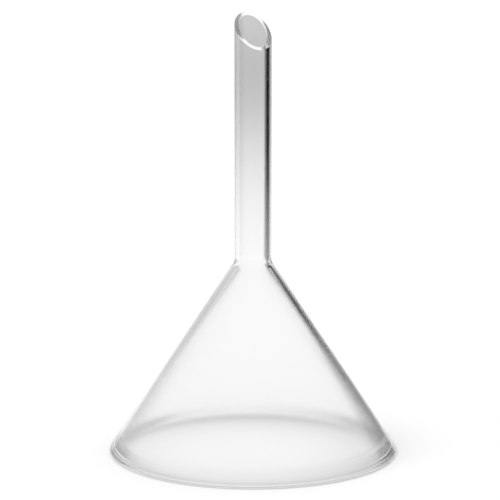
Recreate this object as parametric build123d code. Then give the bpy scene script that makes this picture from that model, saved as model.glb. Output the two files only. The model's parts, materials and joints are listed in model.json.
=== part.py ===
from build123d import *
import math
import os

# A conical filter funnel of clear glass, in millimetres and degrees.
# It stands mouth down, as in a cupboard: the origin is the centre of the mouth, level with the rim,
# and +Z runs up the middle of the stem. The slanting tip opens towards -Y.

# Cone
MOUTH_DIAMETER = 75.0  # widest outside diameter, just above the foot of the rim
CONE_ANGLE = 67.0  # full angle between opposite sides
CONE_WALL_AT_NECK = 1.5  # thickness square to the wall, at the corner with the stem
CONE_WALL_AT_RIM = 1.15  # the same just above the rim's bead

# Rim, thickened inwards and rounded by the flame
RIM_ROUND = 0.8  # radius of both bottom edges
RIM_LAND = 0.8  # width of the flat ring that the funnel stands on
BEAD_TAPER = 18.0  # angle between the thickened inside of the rim and the inside of the cone
BEAD_BLEND = 5.0  # hollow radius where the two meet

# Stem
STEM_DIAMETER = 9.5
STEM_WALL = 1.2
STEM_LENGTH = 64.5  # from the corner with the cone to the longest side of the tip
NECK_ROUND = 3.0  # hollow radius outside, where the cone turns into the stem

# Tip, cut on a slant so that the last drop runs to one side
TIP_SLANT = 45.0  # slope of the cut, from level
TIP_ROUND = 0.35  # radius of the edges of the cut, melted smooth

# Worked out from the sizes above
HALF_ANGLE = math.radians(CONE_ANGLE / 2)
SLANT = math.radians(TIP_SLANT)
STEM_RADIUS = STEM_DIAMETER / 2
BORE_RADIUS = STEM_RADIUS - STEM_WALL
RIGHT_ANGLE = math.radians(90)
LAND_RADIUS = MOUTH_DIAMETER / 2 - RIM_ROUND  # outer edge of the land, below the widest point
FOOT_RADIUS = LAND_RADIUS + RIM_ROUND * math.tan((RIGHT_ANGLE + HALF_ANGLE) / 2)  # cone's outer line at Z = 0
CONE_HEIGHT = (FOOT_RADIUS - STEM_RADIUS) / math.tan(HALF_ANGLE)
TOP = CONE_HEIGHT + STEM_LENGTH


def inside_corners():
    """The inside corners of the section, from the neck down to the rim."""
    # The inside of the cone is a straight line between its two wall thicknesses, up to the bore.
    cone_foot = FOOT_RADIUS - CONE_WALL_AT_RIM / math.cos(HALF_ANGLE)
    cone_top = STEM_RADIUS - CONE_WALL_AT_NECK * math.cos(HALF_ANGLE)
    cone_rise = CONE_HEIGHT - CONE_WALL_AT_NECK * math.sin(HALF_ANGLE)
    cone_slope = (cone_foot - cone_top) / cone_rise
    neck_height = (cone_foot - BORE_RADIUS) / cone_slope
    # The rim's bead leans less than the cone, so its top is where the two lines cross.
    bead_lean = math.atan(cone_slope) - math.radians(BEAD_TAPER)
    bead_foot = LAND_RADIUS - RIM_LAND - RIM_ROUND * math.tan((RIGHT_ANGLE - bead_lean) / 2)
    bead_slope = math.tan(bead_lean)
    bead_height = (cone_foot - bead_foot) / (cone_slope - bead_slope)
    return (BORE_RADIUS, neck_height), (bead_foot - bead_slope * bead_height, bead_height), (bead_foot, 0)


def wall_section():
    """Half of the funnel's section, from the rim up the outside and down the inside."""
    rim_outside = (FOOT_RADIUS, 0)
    neck_outside = (STEM_RADIUS, CONE_HEIGHT)
    neck_inside, bead_top, rim_inside = inside_corners()
    stem_end = [(STEM_RADIUS, TOP), (BORE_RADIUS, TOP)]
    corners = [rim_outside, neck_outside, *stem_end, neck_inside, bead_top, rim_inside]
    rounds = [
        (rim_outside, RIM_ROUND),
        (neck_outside, NECK_ROUND),
        (neck_inside, NECK_ROUND + STEM_WALL),
        (bead_top, BEAD_BLEND),
        (rim_inside, RIM_ROUND),
    ]
    section = make_face(Polyline(*corners, close=True))
    for place, radius in rounds:
        section = fillet(section.vertices().sort_by_distance(place)[0], radius)
    # It lies in the plane of symmetry, so that the seams of the turned faces meet the cut squarely.
    return Plane.YZ * section


def blown_shape():
    """The whole turn of the section, with a square end on the stem."""
    return revolve(wall_section(), Axis.Z)


def tip_plane():
    """The plane of the slanting cut, through the stem's longest side at the back, facing up and forward."""
    middle = TOP - STEM_RADIUS * math.tan(SLANT)
    return Plane(origin=(0, 0, middle), x_dir=(1, 0, 0), z_dir=(0, -math.sin(SLANT), math.cos(SLANT)))


def cut_tip(shape):
    """Cuts the stem's end on its slant and rounds both edges of the cut."""
    shorter = split(shape, bisect_by=tip_plane(), keep=Keep.BOTTOM)
    slanting_face = shorter.faces().filter_by(GeomType.PLANE).sort_by(Axis.Z)[-1]
    return fillet(slanting_face.edges(), TIP_ROUND)


def funnel():
    return cut_tip(blown_shape())


os.makedirs("parts", exist_ok=True)
export_step(funnel(), "parts/funnel.step")
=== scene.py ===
import json
import math

import bpy
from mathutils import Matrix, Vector


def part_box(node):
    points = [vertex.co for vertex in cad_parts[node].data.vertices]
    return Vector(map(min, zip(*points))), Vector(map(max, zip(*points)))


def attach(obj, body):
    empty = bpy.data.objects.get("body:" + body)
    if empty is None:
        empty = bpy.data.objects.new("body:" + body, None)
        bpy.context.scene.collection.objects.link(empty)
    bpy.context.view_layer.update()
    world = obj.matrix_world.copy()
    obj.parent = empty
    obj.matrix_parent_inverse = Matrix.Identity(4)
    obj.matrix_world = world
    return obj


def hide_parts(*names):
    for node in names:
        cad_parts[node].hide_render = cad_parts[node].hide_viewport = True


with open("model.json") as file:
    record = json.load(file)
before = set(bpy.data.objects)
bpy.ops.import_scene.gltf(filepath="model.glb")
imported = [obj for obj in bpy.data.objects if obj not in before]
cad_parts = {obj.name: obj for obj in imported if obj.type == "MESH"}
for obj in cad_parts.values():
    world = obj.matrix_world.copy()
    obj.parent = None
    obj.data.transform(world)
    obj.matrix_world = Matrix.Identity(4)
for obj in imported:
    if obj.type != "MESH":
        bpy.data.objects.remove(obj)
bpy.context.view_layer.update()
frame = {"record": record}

# A clear glass filter funnel, standing mouth down, in metres.
# The origin is the centre of the mouth, +Z runs up the stem, and the slanting tip opens towards -Y.

bl_info = {
    "name": "Glass Filter Funnel",
    "version": (1, 0, 0),
    "blender": (4, 5, 0),
    "location": "View3D > Sidebar > Funnel",
    "description": "Makes a clear glass filter funnel and the studio that it stands in",
    "category": "Add Mesh",
}

NODE_LOW, NODE_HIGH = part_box("funnel")
MOUNT_SIZES = {mount["name"]: mount["dims"] for mount in frame["record"]["mounts"]}
MM = 0.001


# Settings that a user would change

def length(name, description, default):
    return bpy.props.FloatProperty(
        name=name, description=description, default=default, min=0, precision=5,
        subtype="DISTANCE", unit="LENGTH",
    )


def angle(name, description, degrees):
    return bpy.props.FloatProperty(
        name=name, description=description, default=math.radians(degrees), subtype="ANGLE", unit="ROTATION"
    )


def share(name, description, default):
    return bpy.props.FloatProperty(name=name, description=description, default=default, min=0, max=1)


def number(name, description, default, lowest=0):
    return bpy.props.FloatProperty(name=name, description=description, default=default, min=lowest)


def tint(name, description, default):
    return bpy.props.FloatVectorProperty(
        name=name, description=description, default=default, min=0, max=1, size=3, subtype="COLOR"
    )


class FunnelSizes(bpy.types.PropertyGroup):
    """The real sizes of the glass."""

    mouth_diameter: length("Mouth Diameter", "Widest outside diameter, at the rim", NODE_HIGH.x - NODE_LOW.x)
    height: length("Height", "From the foot of the rim to the highest point of the tip", NODE_HIGH.z)
    cone_angle: angle("Cone Angle", "Full angle between opposite sides of the cone", 67)
    neck_wall: length("Wall at the Neck", "Thickness of the cone at its corner with the stem", 1.5 * MM)
    rim_wall: length("Wall at the Rim", "Thickness of the cone just above the rim's bead", 1.15 * MM)
    rim_round: length("Rim Round", "Radius of both bottom edges", 0.8 * MM)
    rim_land: length("Rim Land", "Width of the flat ring that the funnel stands on", 0.8 * MM)
    bead_taper: angle("Bead Taper", "Angle between the thickened rim and the inside of the cone", 18)
    bead_blend: length("Bead Blend", "Hollow radius where the rim's bead meets the cone", 5 * MM)
    stem_radius: length("Stem Radius", "Outside radius of the stem", MOUNT_SIZES["stem"]["r_mm"] * MM)
    bore_radius: length("Bore Radius", "Inside radius of the stem", MOUNT_SIZES["stem_bore"]["r_mm"] * MM)
    neck_round: length("Neck Round", "Hollow radius outside, where the cone turns into the stem", 3 * MM)
    tip_slant: angle("Tip Slant", "Slope of the cut at the stem's end, from level", 45)
    tip_round: length("Tip Round", "Radius of the edges of the cut, melted smooth", 0.35 * MM)


class FunnelMesh(bpy.types.PropertyGroup):
    """How finely the glass is divided."""

    turns: bpy.props.IntProperty(
        name="Steps Around", description="Steps round the axis, a multiple of four", default=256, min=16
    )
    arc_points: bpy.props.IntProperty(
        name="Steps in an Arc", description="Steps in each rounding of the section", default=30, min=2
    )
    row_spacing: length("Row Spacing", "Longest step along the straight runs", 1.5 * MM)


class GlassFinish(bpy.types.PropertyGroup):
    """The look of the glass."""

    colour: tint("Glass Colour", "Tint of the glass", (0.965, 0.965, 0.965))
    bend: number("Refraction", "Index of refraction", 1.47, 1)
    fading: number("Absorption", "How fast light fades inside the glass, for each metre", 3)
    smudge: share("Smudges", "Roughness of the faint smudges", 0.03)
    ripple: length("Ripple", "Depth of the unevenness left by blowing and drawing", 0.003 * MM)
    shadow: share("Light Let Through", "Share of the light that each surface lets through to the floor", 0.96)
    rim_shadow: share("Light Let Through at the Rim", "The same where the thick rim meets the floor", 0.6)
    flat_shadow: number("Flat Angle Shadow", "Less of it lets less light through at flat angles", 2.5)
    rim_height: length("Rim Shadow Height", "Height over which the one turns into the other", 4 * MM)


class StudioSettings(bpy.types.PropertyGroup):
    """The floor, the light and the camera."""

    azimuth: angle("Camera Azimuth", "Direction of the camera round the funnel, from -Y towards +X", -26)
    elevation: angle("Camera Elevation", "Height of the camera above the horizon", 10.22)
    distance: length("Camera Distance", "From the camera to the point that it looks at", 600 * MM)
    aim_height: length("Aim Height", "Height of the point that the camera looks at", 53.37 * MM)
    aim_left: length("Aim Left", "How far that point lies left of the funnel's axis", 0.78 * MM)
    lens: number("Focal Length", "Focal length of the lens, in millimetres", 167, 1)
    floor_size: length("Floor Size", "Side of the floor", 6000 * MM)
    floor_glow: share("Floor Glow", "Share of the floor's white that takes no shadow", 0.3)
    fill: number("Fill Light", "Strength of the even light from all around the funnel", 0.7)
    # Painted shade, seen only in the glass: the floor darkens with distance between the next two.
    sweep_start: length("Sweep Start", "Distance at which the floor starts to darken in the glass", 200 * MM)
    sweep_end: length("Sweep End", "Distance at which it has the far floor's tone", 950 * MM)
    # Painted shade of the card, seen only in the glass, between the next two distances.
    shade_start: length("Shade Start", "Distance at which the card's shade on the floor starts", 110 * MM)
    shade_end: length("Shade End", "Distance at which that shade is full", 240 * MM)
    # Painted shade of a small card, seen only in the glass: it starts, is full, fades and is gone at the next
    # four distances.
    flag_near: length("Flag Near", "Distance at which the shade of the small card starts", 95 * MM)
    flag_full: length("Flag Full", "Distance at which it is full", 118 * MM)
    flag_far: length("Flag Far", "Distance at which it starts to fade again", 175 * MM)
    flag_end: length("Flag End", "Distance at which it is gone", 250 * MM)
    # Painted dark card, seen only in the glass: no card stands in the studio, but between the next two
    # distances the floor at the right turns dark.
    card_start: length("Card Start", "Distance at which the shade starts to turn into the card", 260 * MM)
    card_end: length("Card End", "Distance at which the floor is as dark as the card", 580 * MM)
    # Painted reflection, seen only in the glass: the floor turns up into a darker backdrop, with a grey
    # ceiling above it.
    wall_start: length("Backdrop Start", "Distance at which the floor turns up into the backdrop", 1000 * MM)
    wall_end: length("Backdrop End", "Distance at which it has the backdrop's tone", 1500 * MM)
    backdrop_top: angle("Backdrop Top", "Height above the horizon up to which the backdrop reaches", 13)
    ceiling_edge: angle("Ceiling Edge", "Height above the horizon at which the ceiling starts", 18)
    ceiling: share("Ceiling", "Tone of the ceiling in the glass", 0.8)
    sun: number("Key Light", "Strength of the soft key light", 1.4)
    sun_angle: angle("Key Size", "Angle across the key light, wide for soft shadows", 50)
    sun_tilt: angle("Key Tilt", "How far the key light leans from straight above", 35)
    sun_turn: angle("Key Turn", "How far left of the camera the key light comes from", 60)
    bounces: bpy.props.IntProperty(
        name="Bounces", description="Turns that light may take in the glass", default=256, min=1
    )


# Node trees

class Tree:
    """Adds nodes to a node tree, and links or sets their inputs."""

    def __init__(self, node_tree):
        self.nodes = node_tree.nodes
        self.links = node_tree.links

    def add(self, kind, *values, out=0, **settings):
        """A new node. The values go to its inputs in order, and None leaves one as it is."""
        node = self.nodes.new(kind)
        for name, value in settings.items():
            setattr(node, name, value)
        for socket, value in zip([s for s in node.inputs if s.enabled], values):
            self.feed(socket, value)
        return node.outputs[out]

    def feed(self, socket, value):
        if isinstance(value, bpy.types.NodeSocket):
            self.links.new(value, socket)
        elif value is not None:
            socket.default_value = value

    def math(self, operation, *values):
        return self.add("ShaderNodeMath", *values, operation=operation)

    def vector(self, operation, *values, out=0):
        return self.add("ShaderNodeVectorMath", *values, operation=operation, out=out)

    def parts(self, vector):
        return self.add("ShaderNodeSeparateXYZ", vector).node.outputs


def mix(tree, factor, low, high):
    return tree.add("ShaderNodeMapRange", factor, 0.0, 1.0, low, high)


def eased(tree, value, start, end, low=0.0, high=1.0):
    """Changes smoothly from low to high as the value goes from start to end."""
    return tree.add("ShaderNodeMapRange", value, start, end, low, high, interpolation_type="SMOOTHSTEP")


def switch(tree, kind, values):
    """A field that gives each point of the section its own value, by its index."""
    node = tree.nodes.new("GeometryNodeIndexSwitch")
    node.data_type = kind
    while len(node.index_switch_items) < len(values):
        node.index_switch_items.new()
    tree.feed(node.inputs["Index"], tree.add("GeometryNodeInputIndex"))
    for place, value in enumerate(values):
        tree.feed(node.inputs[place + 1], value)
    return node.outputs[0]


# Glass

# The section's corners, from the rim up the outside and down the inside, and the rounding of each
CORNERS = (
    "Rim Outside", "Neck Outside", "Tip Outside", "Tip Inside", "Neck Inside", "Bead Top", "Rim Inside",
)
ROUNDS = (
    "Rim Round", "Neck Round", "Tip Round", "Tip Round", "Neck Inside Round", "Bead Blend", "Rim Round",
)

# Noise on the glass, in cells to a metre
SMUDGE_SCALE = 60.0
SMUDGE_DETAIL = 3.0
SMUDGE_RANGE = (0.45, 0.75)  # up to the one the glass is clean, from the other on it is smudged
RIPPLE_SCALE = 140.0
RIPPLE_DETAIL = 2.0
RIPPLE_STRETCH = (1.0, 1.0, 0.15)  # longer the way that the glass was drawn


def section_values(sizes):
    """The section's corners, each as (radius, height, 0), and the other sizes that the tree needs."""
    half_angle = sizes.cone_angle / 2
    # The rim's outside rounding touches the widest diameter, and the cone's line runs on to the ground.
    land_radius = sizes.mouth_diameter / 2 - sizes.rim_round
    foot_radius = land_radius + sizes.rim_round * math.tan(math.pi / 4 + half_angle / 2)
    cone_height = (foot_radius - sizes.stem_radius) / math.tan(half_angle)
    # The edges of the slanting cut are rounded, so its plane passes the stem's wall above the highest point.
    slant = sizes.tip_slant
    top = sizes.height + sizes.tip_round * (math.tan(slant) + 1 / math.cos(slant) - 1)
    # The inside of the cone is a straight line between its two wall thicknesses, up to the bore.
    cone_foot = foot_radius - sizes.rim_wall / math.cos(half_angle)
    cone_top = sizes.stem_radius - sizes.neck_wall * math.cos(half_angle)
    cone_rise = cone_height - sizes.neck_wall * math.sin(half_angle)
    cone_slope = (cone_foot - cone_top) / cone_rise
    neck_height = (cone_foot - sizes.bore_radius) / cone_slope
    # The rim's bead leans less than the cone, so its top is where the two lines cross.
    bead_lean = math.atan(cone_slope) - sizes.bead_taper
    bead_foot = land_radius - sizes.rim_land - sizes.rim_round * math.tan(math.pi / 4 - bead_lean / 2)
    bead_height = (cone_foot - bead_foot) / (cone_slope - math.tan(bead_lean))
    bead_radius = bead_foot - math.tan(bead_lean) * bead_height
    return {
        "Rim Outside": (foot_radius, 0, 0),
        "Neck Outside": (sizes.stem_radius, cone_height, 0),
        "Tip Outside": (sizes.stem_radius, top, 0),
        "Tip Inside": (sizes.bore_radius, top, 0),
        "Neck Inside": (sizes.bore_radius, neck_height, 0),
        "Bead Top": (bead_radius, bead_height, 0),
        "Rim Inside": (bead_foot, 0, 0),
        "Rim Round": sizes.rim_round,
        "Neck Round": sizes.neck_round,
        "Neck Inside Round": sizes.neck_round + sizes.stem_radius - sizes.bore_radius,
        "Bead Blend": sizes.bead_blend,
        "Tip Round": sizes.tip_round,
        "Stem Radius": sizes.stem_radius,
        "Bore Radius": sizes.bore_radius,
        "Stem Foot": cone_height + sizes.neck_round * math.tan(half_angle / 2),
        "Stem Top": top,
        "Tip Slant": slant,
    }


def drawn_section(tree, given):
    """The wall's section as a closed curve, ready to be swept along the path.

    X is the distance outwards from the path, and Y points down.
    """
    line = tree.add("GeometryNodeMeshLine", len(CORNERS))
    corners = tree.add(
        "GeometryNodeSetPosition", line, None, switch(tree, "VECTOR", [given[name] for name in CORNERS])
    )
    open_line = tree.add("GeometryNodeMeshToCurve", corners)
    outline = tree.add("GeometryNodeSetSplineCyclic", open_line, None, True)
    fillet = tree.nodes.new("GeometryNodeFilletCurve")
    fillet.mode = "POLY"
    tree.feed(fillet.inputs["Curve"], outline)
    tree.feed(fillet.inputs["Count"], given["Arc Points"])
    tree.feed(fillet.inputs["Radius"], switch(tree, "FLOAT", [given[name] for name in ROUNDS]))
    # Every straight run gets rows, so that the shading stays true where it meets an arc.
    place = tree.add("GeometryNodeInputPosition")
    following = tree.add("GeometryNodeOffsetPointInCurve", None, 1, out="Point Index")
    next_place = tree.add("GeometryNodeFieldAtIndex", place, following, data_type="FLOAT_VECTOR")
    run = tree.vector("DISTANCE", place, next_place, out="Value")
    rows = tree.math("FLOOR", tree.math("DIVIDE", run, given["Row Spacing"]))
    divided = tree.add("GeometryNodeSubdivideCurve", fillet.outputs[0], rows)
    across = tree.parts(place)
    swept = tree.add(
        "ShaderNodeCombineXYZ", tree.math("SUBTRACT", across["X"], given["Stem Radius"]),
        tree.math("MULTIPLY", across["Y"], -1),
    )
    return tree.add("GeometryNodeSetPosition", divided, None, swept)


def turned_wall(tree, section, given):
    """The section swept once round the axis, on a circle as wide as the stem."""
    circle = tree.add("GeometryNodeCurvePrimitiveCircle", given["Steps Around"], given["Stem Radius"])
    path = tree.add("GeometryNodeSetCurveNormal", circle, None, mode="Z_UP")
    sweep = tree.nodes.new("GeometryNodeCurveToMesh")
    tree.feed(sweep.inputs["Curve"], path)
    tree.feed(sweep.inputs["Profile Curve"], section)
    return tree.add("GeometryNodeFlipFaces", sweep.outputs[0])


def slanted_tip(tree, wall, given):
    """Moves the stem's points so that its level end becomes the slanting cut.

    A ball as large as the tip's rounding rolls along each edge of the cut. Its centre stays one radius under
    the plane of the cut and one radius inside the wall, and the rounding turns about it from the wall to the
    plane.
    """
    place = tree.add("GeometryNodeInputPosition")
    sides = tree.parts(place)
    flat = tree.add("ShaderNodeCombineXYZ", sides["X"], sides["Y"], 0.0)
    radius = tree.vector("LENGTH", flat, out="Value")
    outward = tree.vector("NORMALIZE", flat)
    slope, ball = given["Tip Slant"], given["Tip Round"]
    # The centre of the ball
    ball_radius = tree.add(
        "ShaderNodeClamp", radius, tree.math("ADD", given["Bore Radius"], ball),
        tree.math("SUBTRACT", given["Stem Radius"], ball),
    )
    tangent = tree.math("TANGENT", slope)
    rise = tree.math("MULTIPLY", tangent, tree.math("MULTIPLY", ball_radius, tree.parts(outward)["Y"]))
    middle = tree.math("SUBTRACT", given["Stem Top"], tree.math("MULTIPLY", tangent, given["Stem Radius"]))
    under = tree.math("SUBTRACT", middle, tree.math("DIVIDE", ball, tree.math("COSINE", slope)))
    ball_height = tree.math("ADD", under, rise)
    level_height = tree.math("SUBTRACT", given["Stem Top"], ball)
    # The rows of the stem spread out to reach it
    spread = tree.add(
        "ShaderNodeMapRange", sides["Z"], given["Stem Foot"], level_height, given["Stem Foot"], ball_height
    )
    centre = tree.vector(
        "ADD", tree.vector("SCALE", outward, ball_radius),
        tree.add("ShaderNodeCombineXYZ", 0.0, 0.0, spread),
    )
    # The turn about it, from the wall's own direction to the direction that the cut faces
    inside = tree.math("SUBTRACT", radius, ball_radius)
    above = tree.math("MAXIMUM", tree.math("SUBTRACT", sides["Z"], level_height), 0.0)
    turned = tree.math("DIVIDE", tree.math("ARCTAN2", above, tree.math("ABSOLUTE", inside)), math.pi / 2)
    wall_way = tree.vector("SCALE", outward, tree.math("SIGN", inside))
    forward = tree.math("MULTIPLY", tree.math("SINE", slope), -1)
    cut_way = tree.add("ShaderNodeCombineXYZ", 0.0, forward, tree.math("COSINE", slope))
    between = tree.math("ARCCOSINE", tree.vector("DOT_PRODUCT", wall_way, cut_way, out="Value"))
    from_wall = tree.math("SINE", tree.math("MULTIPLY", tree.math("SUBTRACT", 1.0, turned), between))
    from_cut = tree.math("SINE", tree.math("MULTIPLY", turned, between))
    blend = tree.vector(
        "ADD", tree.vector("SCALE", wall_way, from_wall),
        tree.vector("SCALE", cut_way, from_cut),
    )
    reach = tree.math("DIVIDE", ball, tree.math("SINE", between))
    surface = tree.vector("ADD", centre, tree.vector("SCALE", blend, reach))
    on_stem = tree.math("GREATER_THAN", sides["Z"], given["Stem Foot"])
    return tree.add("GeometryNodeSetPosition", wall, on_stem, surface)


def funnel_tree(names):
    """The Geometry Nodes tree that draws the section, turns it and cuts the tip, with each size an input."""
    group = bpy.data.node_groups.new("Blown Funnel", "GeometryNodeTree")
    group.interface.new_socket("Geometry", in_out="INPUT", socket_type="NodeSocketGeometry")
    group.interface.new_socket("Geometry", in_out="OUTPUT", socket_type="NodeSocketGeometry")
    for name, kind in names:
        group.interface.new_socket(name, in_out="INPUT", socket_type=kind)
    tree = Tree(group)
    given = tree.nodes.new("NodeGroupInput").outputs
    wall = turned_wall(tree, drawn_section(tree, given), given)
    cut = slanted_tip(tree, wall, given)
    smooth = tree.add("GeometryNodeSetShadeSmooth", cut)
    whole = tree.add("GeometryNodeRealizeInstances", smooth)
    finished = tree.nodes.new("GeometryNodeSetMaterial")
    tree.feed(finished.inputs["Geometry"], whole)
    tree.links.new(given["Material"], finished.inputs["Material"])
    result = tree.nodes.new("NodeGroupOutput")
    tree.links.new(finished.outputs[0], result.inputs["Geometry"])
    return group


def socket_kind(value):
    """The kind of tree input that takes this value."""
    if isinstance(value, bpy.types.Material):
        return "NodeSocketMaterial"
    if isinstance(value, int):
        return "NodeSocketInt"
    return "NodeSocketVector" if isinstance(value, tuple) else "NodeSocketFloat"


def frozen(name, tree, values):
    """An object whose mesh is what the tree makes of the values, with no modifier left on it."""
    maker = bpy.data.objects.new(name + "_maker", bpy.data.meshes.new(name + "_maker"))
    bpy.context.scene.collection.objects.link(maker)
    modifier = maker.modifiers.new("Blown Funnel", "NODES")
    modifier.node_group = tree
    for item in tree.interface.items_tree:
        if item.in_out == "INPUT" and item.name in values:
            modifier[item.identifier] = values[item.name]
    evaluated = maker.evaluated_get(bpy.context.evaluated_depsgraph_get())
    mesh = bpy.data.meshes.new_from_object(evaluated)
    mesh.name = name
    bpy.data.objects.remove(maker)
    piece = bpy.data.objects.new(name, mesh)
    bpy.context.scene.collection.objects.link(piece)
    return piece


def glass_material(finish):
    """Clear flame-worked glass: faint smudges, and a ripple along the stem and round the cone."""
    material = bpy.data.materials.new("clear_glass")
    material.use_nodes = True
    tree = Tree(material.node_tree)
    tree.nodes.clear()
    place = tree.add("ShaderNodeTexCoord", out="Object")
    smudges = tree.add("ShaderNodeTexNoise", place, None, SMUDGE_SCALE, SMUDGE_DETAIL)
    roughness = tree.add("ShaderNodeMapRange", smudges, *SMUDGE_RANGE, 0.0, finish.smudge)
    stretched = tree.add("ShaderNodeMapping", place, None, None, RIPPLE_STRETCH)
    ripples = tree.add("ShaderNodeTexNoise", stretched, None, RIPPLE_SCALE, RIPPLE_DETAIL)
    bump = tree.add("ShaderNodeBump")
    tree.feed(bump.node.inputs["Strength"], 1.0)
    tree.feed(bump.node.inputs["Distance"], finish.ripple)
    tree.feed(bump.node.inputs["Height"], ripples)
    glass = tree.nodes.new("ShaderNodeBsdfPrincipled")
    for name, value in {
        "Base Color": (*finish.colour, 1.0),
        "Roughness": roughness,
        "IOR": finish.bend,
        "Transmission Weight": 1.0,
        "Normal": bump,
    }.items():
        tree.feed(glass.inputs[name], value)
    # Lamps and the floor's own light pass through, so that the floor under the glass stays bright.
    rays = tree.add("ShaderNodeLightPath").node.outputs
    passing = tree.math("MAXIMUM", rays["Is Shadow Ray"], rays["Is Diffuse Ray"])
    # Less gets through the thick rim, and where it meets the glass at a flat angle.
    upright = eased(tree, tree.parts(place)["Z"], 0.0, finish.rim_height, finish.rim_shadow, finish.shadow)
    flat = tree.math("POWER", tree.add("ShaderNodeLayerWeight", out="Facing"), finish.flat_shadow)
    passed = mix(tree, flat, upright, 0.0)
    clear = tree.add("ShaderNodeBsdfTransparent", passed)
    mixed = tree.add("ShaderNodeMixShader", passing, glass.outputs[0], clear)
    # Light that is led along inside the wall fades on its way.
    body = tree.add("ShaderNodeVolumeAbsorption", (0.0, 0.0, 0.0, 1.0), finish.fading)
    output = tree.nodes.new("ShaderNodeOutputMaterial")
    tree.links.new(mixed, output.inputs["Surface"])
    tree.links.new(body, output.inputs["Volume"])
    return material


class FUNNEL_OT_add_glass(bpy.types.Operator):
    """Make the glass funnel"""

    bl_idname = "funnel.add_glass"
    bl_label = "Add Funnel Glass"

    def execute(self, context):
        settings = context.scene
        values = section_values(settings.funnel_sizes)
        values["Steps Around"] = settings.funnel_mesh.turns
        values["Arc Points"] = settings.funnel_mesh.arc_points
        values["Row Spacing"] = settings.funnel_mesh.row_spacing
        values["Material"] = glass_material(settings.funnel_finish)
        tree = funnel_tree([(name, socket_kind(value)) for name, value in values.items()])
        piece = frozen("funnel_glass", tree, values)
        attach(piece, "root")
        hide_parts("funnel")
        return {"FINISHED"}


# Studio

FLOOR_GAP = 0.02 * MM  # keeps the floor's face apart from the rim's


def band(start, end, soft, inside, outside=1.0):
    """Stops for one level from start to end, and another all round outside its soft edges."""
    return (
        (-180, outside), (start - soft, outside), (start, inside),
        (end, inside), (end + soft, outside), (180, outside),
    )


# What the glass shows of the studio, in plain bands of degrees to the right of the camera's own direction. It
# is all painted shade and painted reflection: the floor and the backdrop take these tones only in the glass,
# to the camera they stay white, and no card stands in the studio.
PAINTED_FAR_FLOOR_SHADE = band(-65, 85, 30, 0.5, 0.75)  # tone of the far floor, dimmer ahead than behind the camera
PAINTED_BACKDROP_REFLECTION = band(-65, 85, 30, 0.6, 0.75)  # tone of the backdrop, up to a little above the horizon
PAINTED_DARK_CARD = band(23, 90, 7, 0.0)  # share of both that a black card at the right leaves
PAINTED_CARD_SHADE = band(23, 90, 10, 0.3)  # share that the card's shade leaves on the floor in front of it
PAINTED_FLAG_SHADE = band(35, 65, 10, 0.3)  # share left by the shade of a small card close by


def by_direction(tree, vector, studio, stops):
    """A value that passes through the stops, which are (degrees to the right, value), as the vector turns."""
    facing = tree.add("ShaderNodeVectorRotate", vector, None, -studio.azimuth, rotation_type="Z_AXIS")
    sides = tree.parts(facing)
    turn = tree.math("DIVIDE", tree.math("ARCTAN2", sides["X"], sides["Y"]), 2 * math.pi)
    ramp = tree.add("ShaderNodeValToRGB", tree.math("ADD", turn, 0.5)).node
    while len(ramp.color_ramp.elements) < len(stops):
        ramp.color_ramp.elements.new(1.0)
    for element, (degrees, value) in zip(ramp.color_ramp.elements, stops):
        element.position = degrees / 360 + 0.5
        element.color = (value, value, value, 1.0)
    return ramp.outputs[0]


# Painted reflection: the backdrop's tone in the glass, darkened at the right by the painted card.
def painted_backdrop_tone(tree, vector, studio):
    backdrop = by_direction(tree, vector, studio, PAINTED_BACKDROP_REFLECTION)
    return tree.math("MULTIPLY", backdrop, by_direction(tree, vector, studio, PAINTED_DARK_CARD))


def floor_material(studio):
    """White, but in the glass it shows the bands above, as painted shade and painted reflection."""
    material = bpy.data.materials.new("white_floor")
    material.use_nodes = True
    tree = Tree(material.node_tree)
    tree.nodes.clear()
    place = tree.add("ShaderNodeTexCoord", out="Object")
    reach = tree.vector("LENGTH", place, out="Value")
    in_glass = tree.add("ShaderNodeLightPath").node.outputs["Is Glossy Ray"]
    # Painted shade: in the glass, the floor darkens with distance to the far floor's tone, dimmer ahead than
    # behind.
    far = tree.math("MULTIPLY", in_glass, eased(tree, reach, studio.sweep_start, studio.sweep_end))
    # Painted shade: the card's shade on the floor, seen only in the glass.
    near = tree.math("MULTIPLY", in_glass, eased(tree, reach, studio.shade_start, studio.shade_end))
    shade = mix(tree, near, 1.0, by_direction(tree, place, studio, PAINTED_CARD_SHADE))
    # Painted shade of a small card, in a ring of distances, seen only in the glass.
    begun = tree.math("MULTIPLY", in_glass, eased(tree, reach, studio.flag_near, studio.flag_full))
    close = tree.math("MULTIPLY", begun, eased(tree, reach, studio.flag_far, studio.flag_end, 1.0, 0.0))
    flag_painted_shade = mix(tree, close, 1.0, by_direction(tree, place, studio, PAINTED_FLAG_SHADE))
    # Painted dark card: farther out, the floor in the glass turns dark at the right.
    beyond = tree.math("MULTIPLY", in_glass, eased(tree, reach, studio.card_start, studio.card_end))
    # The floor's tone in the glass, with its painted shade and the painted dark card.
    floor_tone_with_painted_shade = tree.math(
        "MULTIPLY", mix(tree, far, 1.0, by_direction(tree, place, studio, PAINTED_FAR_FLOOR_SHADE)),
        tree.math("MULTIPLY", flag_painted_shade, mix(tree, beyond, shade, by_direction(tree, place, studio, PAINTED_DARK_CARD))),
    )
    # Painted reflection: far out, the floor in the glass takes the painted backdrop's tone.
    risen = tree.math("MULTIPLY", in_glass, eased(tree, reach, studio.wall_start, studio.wall_end))
    tone = mix(tree, risen, floor_tone_with_painted_shade, painted_backdrop_tone(tree, place, studio))
    glow = tree.add("ShaderNodeEmission", tone, studio.floor_glow)
    cloth = tree.add("ShaderNodeBsdfDiffuse", tree.math("MULTIPLY", tone, 1 - studio.floor_glow))
    both = tree.add("ShaderNodeAddShader", glow, cloth)
    output = tree.nodes.new("ShaderNodeOutputMaterial")
    tree.links.new(both, output.inputs["Surface"])
    return material


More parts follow.
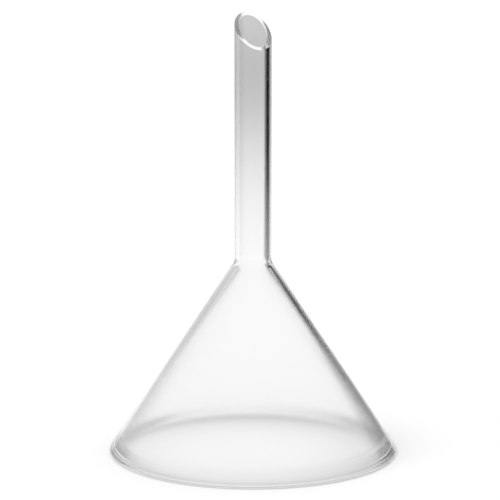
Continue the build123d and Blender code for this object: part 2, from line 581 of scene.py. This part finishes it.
def add_floor(studio):
    half = studio.floor_size / 2
    mesh = bpy.data.meshes.new("floor")
    corners = [(x, y, -FLOOR_GAP) for x, y in ((-half, -half), (half, -half), (half, half), (-half, half))]
    mesh.from_pydata(corners, [], [(0, 1, 2, 3)])
    mesh.materials.append(floor_material(studio))
    floor = bpy.data.objects.new("floor", mesh)
    bpy.context.scene.collection.objects.link(floor)


def add_world(studio):
    """White behind the funnel, plain for its light, and in the glass a painted reflection of a darker
    backdrop with a grey ceiling over it.
    """
    world = bpy.data.worlds.new("studio")
    world.use_nodes = True
    tree = Tree(world.node_tree)
    tree.nodes.clear()
    way = tree.add("ShaderNodeTexCoord", out="Generated")
    height = tree.math("ARCSINE", tree.parts(tree.vector("NORMALIZE", way))["Z"])
    # Painted reflection: glossy rays see the darker backdrop and above it the grey ceiling, while the camera
    # sees white.
    lifted = eased(tree, height, studio.backdrop_top, studio.ceiling_edge)
    horizon = painted_backdrop_tone(tree, way, studio)
    rays = tree.add("ShaderNodeLightPath").node.outputs
    plain = mix(tree, rays["Is Camera Ray"], studio.fill, 1.0)
    tone = mix(tree, rays["Is Glossy Ray"], plain, mix(tree, lifted, horizon, studio.ceiling))
    back = tree.add("ShaderNodeBackground", tone, 1.0)
    output = tree.nodes.new("ShaderNodeOutputWorld")
    tree.links.new(back, output.inputs["Surface"])
    bpy.context.scene.world = world


def add_camera(studio):
    turn, lift = studio.azimuth, studio.elevation
    back = Vector((math.sin(turn) * math.cos(lift), -math.cos(turn) * math.cos(lift), math.sin(lift)))
    left = Vector((-math.cos(turn), -math.sin(turn), 0))
    camera = bpy.data.objects.new("camera", bpy.data.cameras.new("camera"))
    camera.data.lens = studio.lens
    camera.data.clip_start = studio.distance / 100
    camera.location = Vector((0, 0, studio.aim_height)) + left * studio.aim_left + back * studio.distance
    camera.rotation_mode = "QUATERNION"
    camera.rotation_quaternion = (-back).to_track_quat("-Z", "Y")
    bpy.context.scene.collection.objects.link(camera)
    bpy.context.scene.camera = camera


def add_key_light(studio):
    """A broad soft light from the upper left of the camera, as strong all over the floor."""
    lamp = bpy.data.lights.new("key_light", "SUN")
    lamp.energy = studio.sun
    lamp.angle = studio.sun_angle
    holder = bpy.data.objects.new("key_light", lamp)
    holder.rotation_euler = (studio.sun_tilt, 0, studio.azimuth - studio.sun_turn)
    holder.visible_glossy = False
    holder.visible_transmission = False
    bpy.context.scene.collection.objects.link(holder)


class FUNNEL_OT_add_studio(bpy.types.Operator):
    """Make the floor, the backdrop, the key light and the camera"""

    bl_idname = "funnel.add_studio"
    bl_label = "Add Studio"

    def execute(self, context):
        studio = context.scene.funnel_studio
        add_floor(studio)
        add_world(studio)
        add_key_light(studio)
        add_camera(studio)
        context.scene.view_settings.view_transform = "Standard"
        for limit in ("max_bounces", "glossy_bounces", "transmission_bounces"):
            setattr(context.scene.cycles, limit, studio.bounces)
        return {"FINISHED"}


class FUNNEL_PT_sidebar(bpy.types.Panel):
    """Settings and buttons for the funnel"""

    bl_label = "Glass Funnel"
    bl_idname = "FUNNEL_PT_sidebar"
    bl_space_type = "VIEW_3D"
    bl_region_type = "UI"
    bl_category = "Funnel"

    def draw(self, context):
        for name, operator in (
            ("funnel_sizes", None),
            ("funnel_mesh", None),
            ("funnel_finish", FUNNEL_OT_add_glass.bl_idname),
            ("funnel_studio", FUNNEL_OT_add_studio.bl_idname),
        ):
            box = self.layout.box()
            settings = getattr(context.scene, name)
            for item in settings.bl_rna.properties:
                if item.identifier not in ("rna_type", "name"):
                    box.prop(settings, item.identifier)
            if operator:
                box.operator(operator)


SETTINGS = {
    "funnel_sizes": FunnelSizes,
    "funnel_mesh": FunnelMesh,
    "funnel_finish": GlassFinish,
    "funnel_studio": StudioSettings,
}
CLASSES = (*SETTINGS.values(), FUNNEL_OT_add_glass, FUNNEL_OT_add_studio, FUNNEL_PT_sidebar)


def register():
    for item in CLASSES:
        bpy.utils.register_class(item)
    for name, kind in SETTINGS.items():
        setattr(bpy.types.Scene, name, bpy.props.PointerProperty(type=kind))


def unregister():
    for name in SETTINGS:
        delattr(bpy.types.Scene, name)
    for item in reversed(CLASSES):
        bpy.utils.unregister_class(item)


def main():
    register()
    bpy.ops.funnel.add_glass()
    bpy.ops.funnel.add_studio()


if __name__ == "__main__":
    main()
